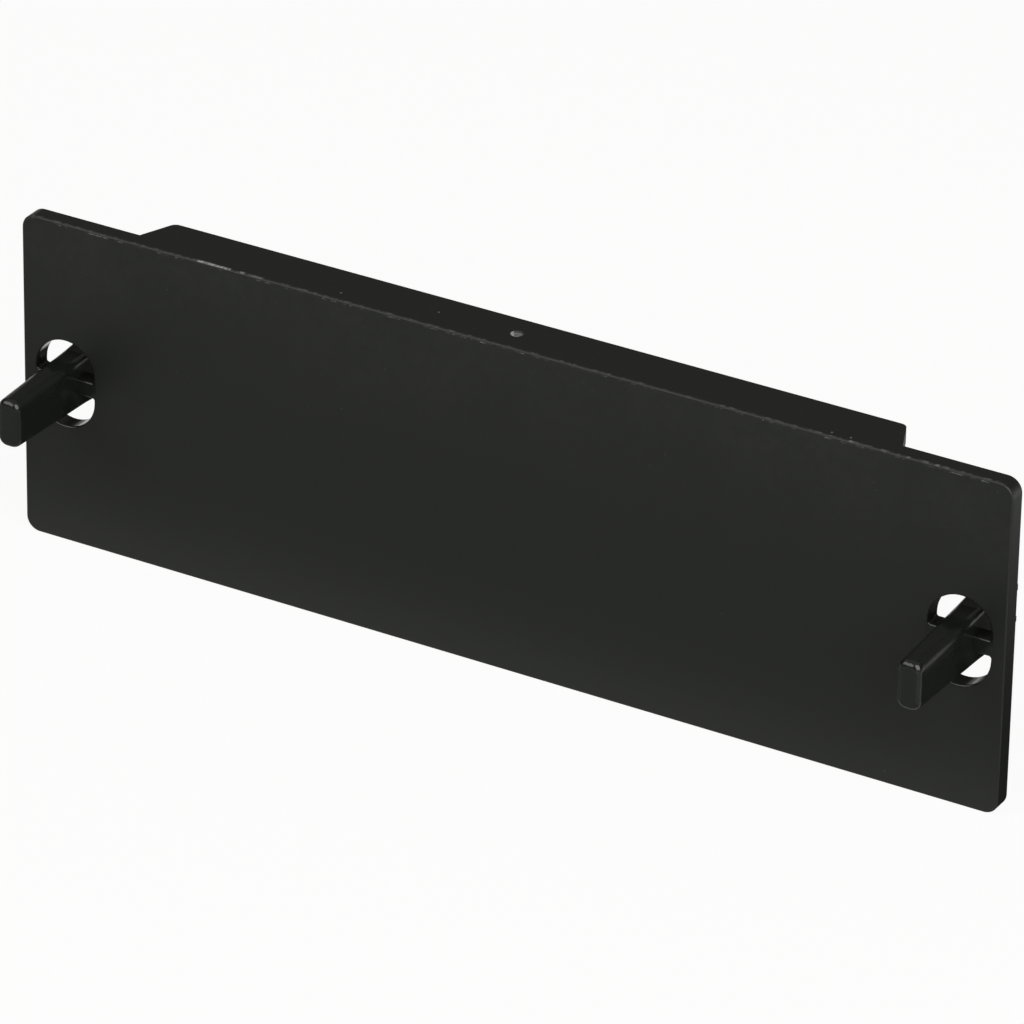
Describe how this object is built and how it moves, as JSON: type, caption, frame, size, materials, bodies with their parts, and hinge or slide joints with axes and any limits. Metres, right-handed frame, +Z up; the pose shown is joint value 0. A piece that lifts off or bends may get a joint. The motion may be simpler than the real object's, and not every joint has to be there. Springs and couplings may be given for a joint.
{
  "type": "blank fibre adapter panel",
  "caption": "Blank fibre adapter panel: flat black moulded plate with a pull tab and split snap arm at each end and stiffening ribs behind its long edges, to close an unused opening.",
  "frame": {"origin": "middle of the plate's rear face, the face that lies against the frame", "axes": "+X along the panel, +Y back through the frame's opening, -Y towards the user, +Z up"},
  "size_m": [0.108, 0.0197, 0.0348],
  "materials": {
    "panel": "black moulded plastic, finely textured and matte on the plate, smoother and glossier on the latches"
  },
  "bodies": {
    "root": {"blank_panel": "panel"}
  },
  "joints": []
}
